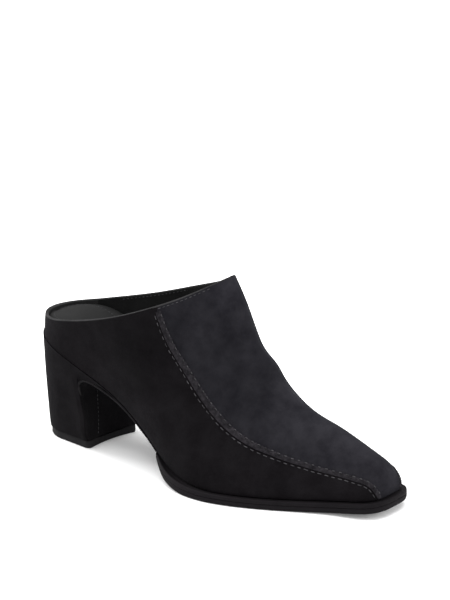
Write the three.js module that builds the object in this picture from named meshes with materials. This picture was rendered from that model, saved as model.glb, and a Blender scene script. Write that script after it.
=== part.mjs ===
// A women's high-heeled mule, the right shoe of a pair, standing empty on its sole.
// Millimetres. +X points to the toe, +Y to the inner (medial) side, +Z up, and z = 0 is the floor.
// The shape comes from one last: ribs rise from the feather line, which runs round the foot, to the ridge
// over the instep. The upper is a wall round that last, cut by the topline. The other pieces follow its
// underside.
import * as THREE from "three";
import { mergeVertices } from "three/addons/utils/BufferGeometryUtils.js";

// ---- Driving dimensions ----
// The shoe's middle, measured from the back of the heel and the heel's axis.
const MIDDLE = { x: 123.3, y: -3.6 };
const WALL = 2.0; // suede, stiffener and lining together
const GAP = 0.3; // between two pieces that are glued together
const FEATHER_LENGTH = 243.5; // back of the heel to the toe, along the upper's lower edge
const THROAT_X = 136; // where the topline crosses the ridge
const HEEL_ROUND = 30; // length of the round back of the heel
const TOE_START = 200; // from here the ribs begin to fan round the toe
const TOE_CORNER = 19; // length of the squared toe's rounded corners
const TOE_SQUARE = 3.5; // exponent of the toe's superellipse
const RIDGE_END = 233; // where the front rib meets the ridge
const LIFT_HEIGHT = 4.8; // the rubber top piece under the heel
const LIFT_INSET = 1.0; // how far the top piece stands back from the heel's cover
const WAIST_END = 104; // the covered heel and waist end here, and the rubber sole begins

// Plan and wall of the last, a row for each section. centre: the middle line's y. lateral, medial: half
// widths at the feather line. bulge, rise: how far the wall leans out, and how high, before it turns in.
// reach: half width of the top of the section.
const LAST = [
  { x: 0, centre: 0, lateral: 25.2, medial: 25.2, feather: 64.0, bulge: -5, rise: 30, reach: 22 },
  { x: 20, centre: 0, lateral: 25.2, medial: 25.0, feather: 59.2, bulge: -1, rise: 32, reach: 24 },
  { x: 40, centre: 0, lateral: 24.6, medial: 24.8, feather: 51.0, bulge: 8, rise: 34, reach: 28 },
  { x: 60, centre: 0.3, lateral: 22.9, medial: 23.2, feather: 41.3, bulge: 15, rise: 36, reach: 31 },
  { x: 80, centre: 0.6, lateral: 23.8, medial: 22.8, feather: 29.5, bulge: 19, rise: 38, reach: 32 },
  { x: 100, centre: 1.0, lateral: 29.0, medial: 23.8, feather: 17.0, bulge: 15.5, rise: 38, reach: 28 },
  { x: 120, centre: 1.4, lateral: 37.6, medial: 26.6, feather: 9.2, bulge: 8, rise: 34, reach: 17 },
  { x: 137, centre: 1.9, lateral: 42.4, medial: 29.6, feather: 6.4, bulge: 5, rise: 30, reach: 10 },
  { x: 150, centre: 2.4, lateral: 43.0, medial: 31.4, feather: 5.8, bulge: 3.5, rise: 25, reach: 9 },
  { x: 165, centre: 3.1, lateral: 40.1, medial: 32.2, feather: 5.8, bulge: 3, rise: 20, reach: 10 },
  { x: 180, centre: 4.0, lateral: 34.9, medial: 30.4, feather: 5.8, bulge: 3, rise: 16.5, reach: 11 },
  { x: 200, centre: 5.4, lateral: 26.5, medial: 25.4, feather: 6.3, bulge: 2.8, rise: 14, reach: 11 },
  { x: 220, centre: 7.0, lateral: 19.3, medial: 19.6, feather: 7.7, bulge: 2.5, rise: 12.5, reach: 10.5 },
  { x: 243.5, centre: 8.8, lateral: 16.2, medial: 17.0, feather: 10.8, bulge: 2.6, rise: 10, reach: 9 },
];

// Side view of the ridge over the instep. Behind the throat it is the last's own, above the opening.
const RIDGE = [
  { x: 0, z: 168 },
  { x: 60, z: 165 },
  { x: 100, z: 155 },
  { x: 120, z: 141 },
  { x: 130, z: 130.5 },
  { x: 136, z: 120.7 },
  { x: 142, z: 107.2 },
  { x: 149, z: 92 },
  { x: 157, z: 78.8 },
  { x: 166, z: 67.8 },
  { x: 176, z: 57.6 },
  { x: 190, z: 48.4 },
  { x: 205, z: 42.8 },
  { x: 220, z: 37.3 },
  { x: 233, z: 31.4 },
];

// Side view of the topline, from the low rim behind the heel up to the throat.
const TOPLINE = [
  { x: 0, z: 74.2 },
  { x: 15, z: 75.4 },
  { x: 30, z: 78.4 },
  { x: 60, z: 86.8 },
  { x: 90, z: 97.2 },
  { x: 115, z: 108.2 },
  { x: 136, z: 120.7 },
];

// The rubber sole, a row for each section. ledge: how far it stands out beyond the upper.
const SOLE = [
  { x: 104, bottom: 11.0, ledge: 1.0 },
  { x: 112, bottom: 5.0, ledge: 2.8 },
  { x: 122, bottom: 1.6, ledge: 3.9 },
  { x: 134, bottom: 0, ledge: 4.0 },
  { x: 150, bottom: 0, ledge: 3.6 },
  { x: 180, bottom: 0, ledge: 3.4 },
  { x: 200, bottom: 0.3, ledge: 3.4 },
  { x: 222, bottom: 1.7, ledge: 3.4 },
  { x: 243.5, bottom: 4.4, ledge: 3.4 },
];

// Side view of the heel's breast and the covered waist: seat is the feather line's x, and x, z the lower
// edge's.
const BREAST = [
  { seat: 34, x: 48.6, z: 5.1 },
  { seat: 36, x: 46.0, z: 15 },
  { seat: 38, x: 42.6, z: 25 },
  { seat: 40, x: 39.6, z: 34 },
  { seat: 42, x: 39.4, z: 39.2 },
  { seat: 44.5, x: 41.8, z: 42.4 },
  { seat: 48, x: 46.5, z: 43.0 },
  { seat: 55, x: 54.5, z: 40.4 },
  { seat: 66, x: 66, z: 35.4 },
  { seat: 80, x: 80, z: 27.4 },
  { seat: 104, x: 104, z: 12.4 },
];

// The heel's foot, seen from below: a D with its round side back, its front turned towards the outer side.
const FOOT = { back: 2.6, front: 48.6, half: 21.0, turn: -0.115, corner: 3, hollow: 2 };

// ---- Small tools ----
const lerp = (a, b, t) => a + (b - a) * t;
const lerpPoint = (a, b, t) => a.clone().lerp(b, t);

// Natural cubic spline through the rows' values of one column, over another column.
function spline(rows, column, over = "x") {
  const xs = rows.map((row) => row[over]);
  const ys = rows.map((row) => row[column]);
  const last = xs.length - 1;
  const bend = new Array(last + 1).fill(0);
  const work = new Array(last + 1).fill(0);
  for (let i = 1; i < last; i++) {
    const before = xs[i] - xs[i - 1];
    const after = xs[i + 1] - xs[i];
    const share = before / (before + after);
    const pivot = share * bend[i - 1] + 2;
    const jump = (ys[i + 1] - ys[i]) / after - (ys[i] - ys[i - 1]) / before;
    bend[i] = (share - 1) / pivot;
    work[i] = ((6 * jump) / (before + after) - share * work[i - 1]) / pivot;
  }
  const second = new Array(last + 1).fill(0);
  for (let i = last - 1; i > 0; i--) second[i] = bend[i] * second[i + 1] + work[i];
  return (x) => {
    const at = Math.min(Math.max(x, xs[0]), xs[last]);
    let i = 0;
    while (i < last - 1 && at > xs[i + 1]) i++;
    const h = xs[i + 1] - xs[i];
    const a = (xs[i + 1] - at) / h;
    const b = 1 - a;
    const curve = ((a ** 3 - a) * second[i] + (b ** 3 - b) * second[i + 1]) * (h * h / 6);
    return a * ys[i] + b * ys[i + 1] + curve;
  };
}

// A closed solid from a list of quads; coincident vertices are joined.
function solid(name, quads, material) {
  const positions = [];
  for (const [a, b, c, d] of quads) {
    for (const corner of [a, b, c, a, c, d]) positions.push(corner.x, corner.y, corner.z);
  }
  const loose = new THREE.BufferGeometry();
  loose.setAttribute("position", new THREE.Float32BufferAttribute(positions, 3));
  const merged = mergeVertices(loose, 1e-3);
  const index = merged.index.array;
  const kept = [];
  for (let i = 0; i < index.length; i += 3) {
    const [a, b, c] = [index[i], index[i + 1], index[i + 2]];
    if (a !== b && b !== c && c !== a) kept.push(a, b, c);
  }
  merged.setIndex(kept);
  merged.computeVertexNormals();
  const mesh = new THREE.Mesh(merged, material);
  mesh.name = name;
  return mesh;
}

// ---- The last ----
const centreAt = spline(LAST, "centre");
const halfAt = { lateral: spline(LAST, "lateral"), medial: spline(LAST, "medial") };
const featherAt = spline(LAST, "feather");
const bulgeAt = spline(LAST, "bulge");
const riseAt = spline(LAST, "rise");
const reachAt = spline(LAST, "reach");
const ridgeAt = spline(RIDGE, "z");
const toplineAt = spline(TOPLINE, "z");
const SIGN = { lateral: -1, medial: 1 };

// Share of the half width that is left by the round heel and the squared toe.
function rounding(x) {
  const heel = Math.max(0, 1 - x / HEEL_ROUND);
  const toe = Math.max(0, 1 - (FEATHER_LENGTH - x) / TOE_CORNER);
  return Math.sqrt(1 - heel ** 2) * (1 - Math.min(toe, 1) ** TOE_SQUARE) ** (1 / TOE_SQUARE);
}

function outlinePoint(side, x) {
  const y = centreAt(x) + SIGN[side] * halfAt[side](x) * rounding(x);
  return new THREE.Vector2(x, y);
}

// The outline's front stretch, from TOE_START to the middle of the toe, as a curve measured by its length.
function toeStretch(side) {
  const steps = 240;
  const points = [];
  for (let i = 0; i <= steps; i++) {
    const share = Math.sin((i / steps) * (Math.PI / 2));
    points.push(outlinePoint(side, lerp(TOE_START, FEATHER_LENGTH, share)));
  }
  const lengths = [0];
  for (let i = 1; i <= steps; i++) lengths.push(lengths[i - 1] + points[i].distanceTo(points[i - 1]));
  const total = lengths[steps];
  const at = (share) => {
    const wanted = share * total;
    let i = 0;
    while (i < steps - 1 && lengths[i + 1] < wanted) i++;
    const part = (wanted - lengths[i]) / (lengths[i + 1] - lengths[i]);
    return points[i].clone().lerp(points[i + 1], part);
  };
  return { at, total };
}
const toe = { lateral: toeStretch("lateral"), medial: toeStretch("medial") };

// A place round the outline is 0 at the back of the heel and 3 at the middle of the toe: 0 to 1 is the round
// heel, 1 to 2 the side, 2 to 3 the fan round the toe.
function outlineAt(side, place) {
  if (place < 0) {
    return outlineAt(side === "lateral" ? "medial" : "lateral", -place);
  }
  if (place > 3) {
    return outlineAt(side === "lateral" ? "medial" : "lateral", 6 - place);
  }
  if (place > 2) {
    return toe[side].at(place - 2);
  }
  if (place > 1) {
    return outlinePoint(side, lerp(HEEL_ROUND, TOE_START, place - 1));
  }
  return outlinePoint(side, HEEL_ROUND * (1 - Math.cos((place * Math.PI) / 2)));
}

const placeOf = (x) => 1 + (x - HEEL_ROUND) / (TOE_START - HEEL_ROUND);

// Outward direction of the outline, in plan.
function outwardAt(side, place) {
  const step = 0.004;
  const along = outlineAt(side, place + step).sub(outlineAt(side, place - step)).normalize();
  return new THREE.Vector2(-SIGN[side] * along.y, SIGN[side] * along.x);
}

// The four control points of a rib: foot, lean, shoulder and top.
function ribAt(side, place) {
  const other = side === "lateral" ? "medial" : "lateral";
  if (place < 0) return ribAt(other, -place);
  if (place > 3) return ribAt(other, 6 - place);
  const foot = outlineAt(side, place);
  const out = outwardAt(side, place);
  const x = foot.x;
  const fan = Math.max(0, place - 2);
  const topX = place > 2 ? lerp(RIDGE_END, TOE_START, (1 - fan) ** 1.8) : x;
  const turn = (Math.PI / 2) * fan ** 1.7;
  const slope = place > 2 ? ridgeAt(topX) - ridgeAt(topX - 1) : 0;
  const reach = reachAt(x) * Math.sqrt(1 - Math.max(0, 1 - x / HEEL_ROUND) ** 2);
  const bulge = bulgeAt(x);
  return [
    new THREE.Vector3(foot.x, foot.y, featherAt(x)),
    new THREE.Vector3(foot.x + out.x * bulge, foot.y + out.y * bulge, featherAt(x) + riseAt(x)),
    new THREE.Vector3(
      topX + reach * Math.sin(turn),
      centreAt(topX) + SIGN[side] * reach * Math.cos(turn),
      ridgeAt(topX) + reach * Math.sin(turn) * slope,
    ),
    new THREE.Vector3(topX, centreAt(topX), ridgeAt(topX)),
  ];
}

function onRib([foot, lean, shoulder, top], v) {
  const w = 1 - v;
  return foot
    .clone()
    .multiplyScalar(w ** 3)
    .addScaledVector(lean, 3 * w * w * v)
    .addScaledVector(shoulder, 3 * w * v * v)
    .addScaledVector(top, v ** 3);
}

// Share of the rib that lies below a height.
function shareBelow(rib, z) {
  let low = 0;
  let high = 1;
  for (let i = 0; i < 40; i++) {
    const middle = (low + high) / 2;
    if (onRib(rib, middle).z < z) low = middle;
    else high = middle;
  }
  return (low + high) / 2;
}

// The rib's upper end: the topline in the opening, the ridge over the forefoot.
function endOfRib(side, place) {
  const x = outlineAt(side, place).x;
  if (x >= THROAT_X) return 1;
  return shareBelow(ribAt(side, place), toplineAt(x));
}

// A point of the last, moved inwards by a depth along the surface's normal.
function lastPoint(side, place, v, depth = 0) {
  const here = onRib(ribAt(side, place), v);
  if (depth === 0) return here;
  const step = 0.01;
  const along = onRib(ribAt(side, place + step), v).sub(onRib(ribAt(side, place - step), v));
  const low = Math.max(0, v - step);
  const up = onRib(ribAt(side, place), Math.min(1, v + step)).sub(onRib(ribAt(side, place), low));
  const normal = up.cross(along).multiplyScalar(SIGN[side]).normalize();
  return here.addScaledVector(normal, -depth);
}

// ---- Stations ----
// Places from the back of the heel to the middle of the toe, closer together at the throat, heel and toe.
function stations(heel, opening, vamp, front) {
  const places = [];
  for (let i = 0; i < heel; i++) places.push(i / heel);
  for (let i = 0; i < opening; i++) {
    const share = 1 - (1 - i / opening) ** 1.7;
    places.push(placeOf(lerp(HEEL_ROUND, THROAT_X, share)));
  }
  for (let i = 0; i < vamp; i++) places.push(placeOf(lerp(THROAT_X, TOE_START, i / vamp)));
  for (let i = 0; i <= front; i++) places.push(2 + i / front);
  return places;
}

// ---- Upper ----
// Rows of points share the rib's length out evenly at the heel. Nearer the throat they keep level with the
// vamp's rows, and those above the topline end on it.
function rowBlend(x) {
  const share = Math.min(1, Math.max(0, (x - 60) / 60));
  return share * share * (3 - 2 * share);
}

function makeUpper(material) {
  const places = stations(7, 16, 9, 12);
  const up = 11;
  const ribs = { lateral: [], medial: [] };
  for (const side of ["lateral", "medial"]) {
    for (const place of places) {
      const end = endOfRib(side, place);
      const even = rowBlend(outlineAt(side, place).x);
      const outer = [];
      const inner = [];
      for (let j = 0; j <= up; j++) {
        const share = j / up;
        const v = lerp(end * share, Math.min(end, share), even);
        outer.push(lastPoint(side, place, v));
        inner.push(lastPoint(side, place, v, WALL));
      }
      for (const point of [outer[0], inner[0]]) point.z += GAP;
      ribs[side].push({ outer, inner, open: place < placeOf(THROAT_X) - 1e-6 });
    }
  }
  // Both sides share the ridge, the back of the heel and the middle of the toe.
  const join = (i, j) => {
    const middle = lerpPoint(ribs.lateral[i].inner[j], ribs.medial[i].inner[j], 0.5);
    ribs.lateral[i].inner[j].copy(middle);
    ribs.medial[i].inner[j].copy(middle);
  };
  for (let i = 0; i < places.length; i++) {
    if (!ribs.lateral[i].open) join(i, up);
  }
  for (let j = 0; j <= up; j++) {
    join(0, j);
    join(places.length - 1, j);
  }
  const quads = [];
  for (const side of ["lateral", "medial"]) {
    const face = (a, b, c, d) => quads.push(side === "lateral" ? [a, b, c, d] : [d, c, b, a]);
    for (let i = 0; i < places.length - 1; i++) {
      const [here, next] = [ribs[side][i], ribs[side][i + 1]];
      for (let j = 0; j < up; j++) {
        face(here.outer[j], next.outer[j], next.outer[j + 1], here.outer[j + 1]);
        face(here.inner[j + 1], next.inner[j + 1], next.inner[j], here.inner[j]);
      }
      face(here.inner[0], next.inner[0], next.outer[0], here.outer[0]);
      if (here.open) face(here.outer[up], next.outer[up], next.inner[up], here.inner[up]);
    }
  }
  return solid("upper", quads, material);
}

// ---- Slabs: the insole, the sole and the heel ----
// Each section is a closed loop: up the lateral edge, across the top, down the medial edge, back underneath.
function slab(name, sections, material, { openStart = false, openEnd = false } = {}) {
  const quads = [];
  const count = sections[0].length;
  for (let i = 0; i < sections.length - 1; i++) {
    for (let k = 0; k < count; k++) {
      const next = (k + 1) % count;
      quads.push([sections[i][k], sections[i + 1][k], sections[i + 1][next], sections[i][next]]);
    }
  }
  // A flat end is closed from its middle.
  const close = (loop, forward) => {
    const middle = new THREE.Vector3();
    for (const point of loop) middle.addScaledVector(point, 1 / loop.length);
    for (let k = 0; k < count; k++) {
      const next = (k + 1) % count;
      const [a, b] = forward ? [loop[k], loop[next]] : [loop[next], loop[k]];
      quads.push([middle, a, b, b]);
    }
  };
  if (openStart) close(sections[0], true);
  if (openEnd) close(sections[sections.length - 1], false);
  return solid(name, quads, material);
}

function across(from, to, steps, shape = () => null) {
  const points = [];
  for (let i = 1; i < steps; i++) {
    const point = lerpPoint(from, to, i / steps);
    shape(point, i / steps);
    points.push(point);
  }
  return points;
}

// The insole lies inside the wall, from the heel to the toe. Its top is dished a little at the heel.
const INSOLE = [
  { x: 0, thick: 8 },
  { x: 18, thick: 12.6 },
  { x: 36, thick: 15 },
  { x: 60, thick: 12.5 },
  { x: 80, thick: 9 },
  { x: 100, thick: 6.4 },
  { x: 120, thick: 4.6 },
  { x: 145, thick: 3.6 },
  { x: 243.5, thick: 3.2 },
];
const INSOLE_DISH = 1.2;

function makeInsole(material) {
  const thickAt = spline(INSOLE, "thick");
  const places = stations(7, 16, 9, 12);
  const edge = 3;
  const sections = places.map((place) => {
    const x = outlineAt("medial", place).x;
    const sides = {};
    for (const side of ["lateral", "medial"]) {
      const rib = ribAt(side, place);
      const end = shareBelow(rib, featherAt(outlineAt(side, place).x) + thickAt(x));
      sides[side] = [];
      for (let j = 0; j <= edge; j++) {
        sides[side].push(lastPoint(side, place, (end * j) / edge, WALL + 2 * GAP));
      }
    }
    for (const side of ["lateral", "medial"]) sides[side][0].z = featherAt(x) + GAP;
    if (place === 0 || place === 3) {
      for (let j = 0; j <= edge; j++) {
        const middle = lerpPoint(sides.lateral[j], sides.medial[j], 0.5);
        sides.lateral[j].copy(middle);
        sides.medial[j].copy(middle);
      }
    }
    const dish = INSOLE_DISH * (1 - Math.min(1, Math.max(0, (x - 20) / 90)));
    const lower = (point, share) => {
      point.z -= dish * 4 * share * (1 - share);
    };
    return [
      ...sides.lateral,
      ...across(sides.lateral[edge], sides.medial[edge], 6, lower),
      ...sides.medial.slice().reverse(),
      ...across(sides.medial[0], sides.lateral[0], 6),
    ];
  });
  return slab("insole", sections, material);
}

// ---- Rubber sole ----
function makeSole(material) {
  const bottomAt = spline(SOLE, "bottom");
  const ledgeAt = spline(SOLE, "ledge");
  const first = placeOf(WAIST_END + 3 * GAP);
  const places = [];
  const sides = 16;
  const front = 14;
  for (let i = 0; i < sides; i++) places.push(lerp(first, 2, i / sides));
  for (let i = 0; i <= front; i++) places.push(2 + i / front);
  const sections = places.map((place) => {
    const edges = {};
    for (const side of ["lateral", "medial"]) {
      const foot = outlineAt(side, place);
      const out = outwardAt(side, place);
      const ledge = ledgeAt(foot.x);
      const top = featherAt(foot.x);
      const bottom = Math.max(0, bottomAt(foot.x));
      const bevel = Math.min(0.9, ledge);
      const at = (reach, z) => new THREE.Vector3(foot.x + out.x * reach, foot.y + out.y * reach, z);
      edges[side] = [
        at(ledge - bevel, bottom),
        at(ledge - 0.25 * bevel, lerp(bottom, top, 0.28)),
        at(ledge, lerp(bottom, top, 0.6)),
        at(ledge - 0.5, top),
      ];
    }
    return [
      ...edges.lateral,
      ...across(edges.lateral[3], edges.medial[3], 4),
      ...edges.medial.slice().reverse(),
      ...across(edges.medial[0], edges.lateral[0], 4),
    ];
  });
  return slab("outsole", sections, material, { openStart: true });
}

// ---- Heel and covered waist ----
// A point of the heel's foot outline. share runs from 0 at the back to 1 at the front corner.
function footPoint(side, share, inset = 0, corner = 0) {
  const half = FOOT.half - inset;
  const middle = FOOT.back + FOOT.half;
  const front = FOOT.front - inset - middle;
  let [along, out] = [0, half];
  if (share < 0.5) {
    along = -half * Math.cos(share * Math.PI);
    out = half * Math.sin(share * Math.PI);
  } else if (share < 0.85 || corner === 0) {
    const end = corner === 0 ? 1 : 0.85;
    along = ((share - 0.5) / (end - 0.5)) * (front - corner);
  } else {
    const angle = ((share - 0.85) / 0.15) * (Math.PI / 2);
    along = front - corner * (1 - Math.sin(angle));
    out = half - corner * (1 - Math.cos(angle));
  }
  const aside = SIGN[side] * out;
  return new THREE.Vector2(
    middle + along * Math.cos(FOOT.turn) - aside * Math.sin(FOOT.turn),
    along * Math.sin(FOOT.turn) + aside * Math.cos(FOOT.turn),
  );
}

function makeHeel(material) {
  const seatTop = (side, seat, place) => {
    const foot = outlineAt(side, place);
    const out = outwardAt(side, place);
    const proud = 0.5;
    return new THREE.Vector3(foot.x + out.x * proud, foot.y + out.y * proud, featherAt(seat));
  };
  const steps = 5;
  const rows = [];
  // The block above its foot.
  const flat = 12;
  for (let i = 0; i <= flat; i++) {
    const share = i / flat;
    const place = share < 0.5 ? share * 2 : placeOf(lerp(HEEL_ROUND, BREAST[0].seat, (share - 0.5) * 2));
    const row = {};
    for (const side of ["lateral", "medial"]) {
      const foot = footPoint(side, share);
      const x = outlineAt(side, place).x;
      row[side] = [new THREE.Vector3(foot.x, foot.y, BREAST[0].z), seatTop(side, x, place)];
    }
    rows.push({ ...row, hollow: share === 1 ? FOOT.hollow : 0, round: share === 1 ? FOOT.corner : 0 });
  }
  // The breast, the arch and the waist.
  const xAt = spline(BREAST.map((row, i) => ({ ...row, i })), "x", "i");
  const zAt = spline(BREAST.map((row, i) => ({ ...row, i })), "z", "i");
  const seatAt = spline(BREAST.map((row, i) => ({ ...row, i })), "seat", "i");
  const path = 26;
  for (let i = 1; i <= path; i++) {
    const k = (i / path) * (BREAST.length - 1);
    const [x, z, seat] = [xAt(k), zAt(k), seatAt(k)];
    const row = {};
    const arch = BREAST[4].z;
    const widen = Math.min(1, (z - BREAST[0].z) / (arch - BREAST[0].z));
    const along = k < 5 ? Math.min(1, widen) : 1;
    for (const side of ["lateral", "medial"]) {
      const corner = footPoint(side, 1);
      const foot = outlineAt(side, placeOf(Math.max(x, HEEL_ROUND + 1)));
      const skew = (corner.x - FOOT.front) * (1 - along);
      const inset = 0.6;
      const wide = foot.y - SIGN[side] * inset;
      row[side] = [
        new THREE.Vector3(x + skew, lerp(corner.y, wide, along ** 0.9), z),
        seatTop(side, seat, placeOf(seat)),
      ];
    }
    const fade = Math.max(0, 1 - k / 5);
    rows.push({ ...row, hollow: FOOT.hollow * fade, round: FOOT.corner * Math.sqrt(fade) });
  }
  const sections = rows.map((row) => {
    const edge = (side) => {
      const points = [];
      for (let j = 0; j <= steps; j++) points.push(lerpPoint(row[side][0], row[side][1], j / steps));
      return points;
    };
    const lateral = edge("lateral");
    const medial = edge("medial");
    const under = [0.03, 0.09, 0.3, 0.5, 0.7, 0.91, 0.97].map((share) => {
      const point = lerpPoint(medial[0], lateral[0], share);
      point.x -= row.hollow * 4 * share * (1 - share);
      const nearness = Math.max(0, 1 - Math.min(share, 1 - share) / 0.09);
      point.x -= row.round * nearness ** 2;
      return point;
    });
    medial[0].x -= row.round;
    lateral[0].x -= row.round;
    return [
      ...lateral,
      ...across(lateral[steps], medial[steps], 6),
      ...medial.slice().reverse(),
      ...under,
    ];
  });
  return slab("heel", sections, material, { openEnd: true });
}

// ---- Top piece ----
function makeLift(material) {
  const outline = [];
  const steps = 16;
  for (let i = 0; i <= steps; i++) outline.push(footPoint("medial", 1 - i / steps, LIFT_INSET, FOOT.corner));
  for (let i = 1; i <= steps; i++) outline.push(footPoint("lateral", i / steps, LIFT_INSET, FOOT.corner));
  const [first, last] = [outline[0], outline[outline.length - 1]];
  for (let i = 1; i < 6; i++) {
    const point = last.clone().lerp(first, i / 6);
    point.x -= FOOT.hollow * 4 * (i / 6) * (1 - i / 6);
    outline.push(point);
  }
  const shape = new THREE.Shape(outline);
  const geometry = new THREE.ExtrudeGeometry(shape, { depth: LIFT_HEIGHT, bevelEnabled: false });
  const mesh = new THREE.Mesh(geometry, material);
  mesh.name = "top_piece";
  return mesh;
}

// ---- Materials and assembly ----
const suede = new THREE.MeshStandardMaterial({ color: 0x1b1b1e, roughness: 0.95, metalness: 0 });
const covering = new THREE.MeshStandardMaterial({ color: 0x19191b, roughness: 0.95, metalness: 0 });
const lining = new THREE.MeshStandardMaterial({ color: 0x2a2a2b, roughness: 0.6, metalness: 0 });
const rubber = new THREE.MeshStandardMaterial({ color: 0x141416, roughness: 0.7, metalness: 0 });

const shoe = new THREE.Group();
shoe.add(makeUpper(suede), makeInsole(lining), makeSole(rubber), makeHeel(covering), makeLift(rubber));
shoe.position.set(-MIDDLE.x, -MIDDLE.y, 0);

export default shoe;
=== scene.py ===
"""A black suede mule with a block heel: the surfaces, seams and materials round its CAD frame.

Tables are in millimetres, measured from the back of the heel and the heel's axis, with +X to the toe, +Y to
the inner side and +Z up. Points become metres in the row frame when a mesh is made.
"""
import math
import random

import bmesh
import bpy
import numpy as np
from mathutils import Matrix, Vector


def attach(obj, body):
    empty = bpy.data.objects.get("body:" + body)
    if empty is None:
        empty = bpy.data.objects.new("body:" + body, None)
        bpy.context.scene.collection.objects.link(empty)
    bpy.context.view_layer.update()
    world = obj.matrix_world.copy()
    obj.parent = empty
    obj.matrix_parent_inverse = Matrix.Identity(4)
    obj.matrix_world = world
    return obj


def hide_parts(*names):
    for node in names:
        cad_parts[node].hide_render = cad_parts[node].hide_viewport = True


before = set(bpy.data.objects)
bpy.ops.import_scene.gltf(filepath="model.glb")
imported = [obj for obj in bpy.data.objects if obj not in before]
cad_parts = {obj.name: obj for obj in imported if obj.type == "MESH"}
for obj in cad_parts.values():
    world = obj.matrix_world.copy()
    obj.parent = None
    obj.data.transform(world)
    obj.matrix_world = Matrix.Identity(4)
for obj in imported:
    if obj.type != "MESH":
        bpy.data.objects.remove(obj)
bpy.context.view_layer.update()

random.seed(7)

# ---- Driving dimensions, the same as the CAD model's ----
MIDDLE = np.array([123.3, -3.6, 0.0])  # the row frame's origin
WALL = 2.0
GAP = 0.3  # clear space between neighbouring solids
FEATHER_LENGTH = 243.5  # the feather line is where the upper turns under the foot
THROAT_X = 136
HEEL_ROUND = 30  # the outline curves in over this length at the back
TOE_START = 200
TOE_CORNER = 19
TOE_SQUARE = 3.5  # 2 is a round toe, and more is squarer
RIDGE_END = 233
LIFT_HEIGHT = 4.8
LIFT_INSET = 1.0
WAIST_END = 104


def table(columns, *rows):
    names = columns.split()
    return [dict(zip(names, row)) for row in rows]


# The last by length: middle, half widths and height of the feather line, then how its ribs lean out, rise and
# reach sideways at the top.
LAST = table(
    "x centre lateral medial feather bulge rise reach",
    (0, 0, 25.2, 25.2, 64.0, -5, 30, 22),
    (20, 0, 25.2, 25.0, 59.2, -1, 32, 24),
    (40, 0, 24.6, 24.8, 51.0, 8, 34, 28),
    (60, 0.3, 22.9, 23.2, 41.3, 15, 36, 31),
    (80, 0.6, 23.8, 22.8, 29.5, 19, 38, 32),
    (100, 1.0, 29.0, 23.8, 17.0, 15.5, 38, 28),
    (120, 1.4, 37.6, 26.6, 9.2, 8, 34, 17),
    (137, 1.9, 42.4, 29.6, 6.4, 5, 30, 10),
    (150, 2.4, 43.0, 31.4, 5.8, 3.5, 25, 9),
    (165, 3.1, 40.1, 32.2, 5.8, 3, 20, 10),
    (180, 4.0, 34.9, 30.4, 5.8, 3, 16.5, 11),
    (200, 5.4, 26.5, 25.4, 6.3, 2.8, 14, 11),
    (220, 7.0, 19.3, 19.6, 7.7, 2.5, 12.5, 10.5),
    (243.5, 8.8, 16.2, 17.0, 10.8, 2.6, 10, 9),
)
# The crest of the last, and the topline's height on the sides.
RIDGE = table(
    "x z",
    (0, 168), (60, 165), (100, 155), (120, 141), (130, 130.5), (136, 120.7), (142, 107.2), (149, 92),
    (157, 78.8), (166, 67.8), (176, 57.6), (190, 48.4), (205, 42.8), (220, 37.3), (233, 31.4),
)
TOPLINE = table("x z", (0, 74.2), (15, 75.4), (30, 78.4), (60, 86.8), (90, 97.2), (115, 108.2), (136, 120.7))
# The sole's underside, and how far its rim stands out past the upper.
SOLE = table(
    "x bottom ledge",
    (104, 11.0, 1.0), (112, 5.0, 2.8), (122, 1.6, 3.9), (134, 0, 4.0), (150, 0, 3.6), (180, 0, 3.4),
    (200, 0.3, 3.4), (222, 1.7, 3.4), (243.5, 4.4, 3.4),
)
# The front of the heel from its foot up, round the arch and along the waist. seat is where its cover meets the
# upper.
BREAST = table(
    "row seat x z",
    (0, 34, 48.6, 5.1), (1, 36, 46.0, 15), (2, 38, 42.6, 25), (3, 40, 39.6, 34), (4, 42, 39.4, 39.2),
    (5, 44.5, 41.8, 42.4), (6, 48, 46.5, 43.0), (7, 55, 54.5, 40.4), (8, 66, 66, 35.4), (9, 80, 80, 27.4),
    (10, 104, 104, 12.4),
)
ARCH_FOOT = 4  # the row where the breast starts to curve into the arch
ARCH_TOP = 5
# The heel's foot: its ends, half width, turn in radians, and the corners and hollow of its front.
FOOT = {"back": 2.6, "front": 48.6, "half": 21.0, "turn": -0.115, "corner": 3, "hollow": 2}
INSOLE = table(
    "x thick",
    (0, 8), (18, 12.6), (36, 15), (60, 12.5), (80, 9), (100, 6.4), (120, 4.6), (145, 3.6), (243.5, 3.2),
)
INSOLE_DISH = 1.2

# ---- Dimensions of what is sewn on ----
# The seam strip's middle on the outer side. place is how far round the outline, up the share of the rib, and
# half its half width. The inner side's strip mirrors it.
STRIP = table(
    "row place up half",
    (0, 1.450, 0.526, 1.7), (1, 1.504, 0.466, 1.95), (2, 1.563, 0.434, 2.1), (3, 1.628, 0.410, 2.15),
    (4, 1.709, 0.405, 2.05), (5, 1.804, 0.403, 1.85), (6, 1.879, 0.416, 1.7), (7, 1.953, 0.416, 1.55),
    (8, 2.063, 0.406, 1.45), (9, 2.276, 0.398, 1.4), (10, 2.439, 0.396, 1.4), (11, 2.608, 0.381, 1.4),
    (12, 2.688, 0.353, 1.4), (13, 2.742, 0.291, 1.4), (14, 2.785, 0.183, 1.4), (15, 2.826, 0.04, 1.4),
)
STRIP_COLUMNS = 11
STRIP_HEIGHT = 0.75
STRIP_DEPTH = 0.45  # how far it is sunk into the upper
WIDTH_WEAR = 0.13  # how far its half width and its height wander
HEIGHT_WEAR = 0.12
PUFF_OUT = 0.45  # how far the strip's edge swells between two stitches
PUFF_UP = 0.35
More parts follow.
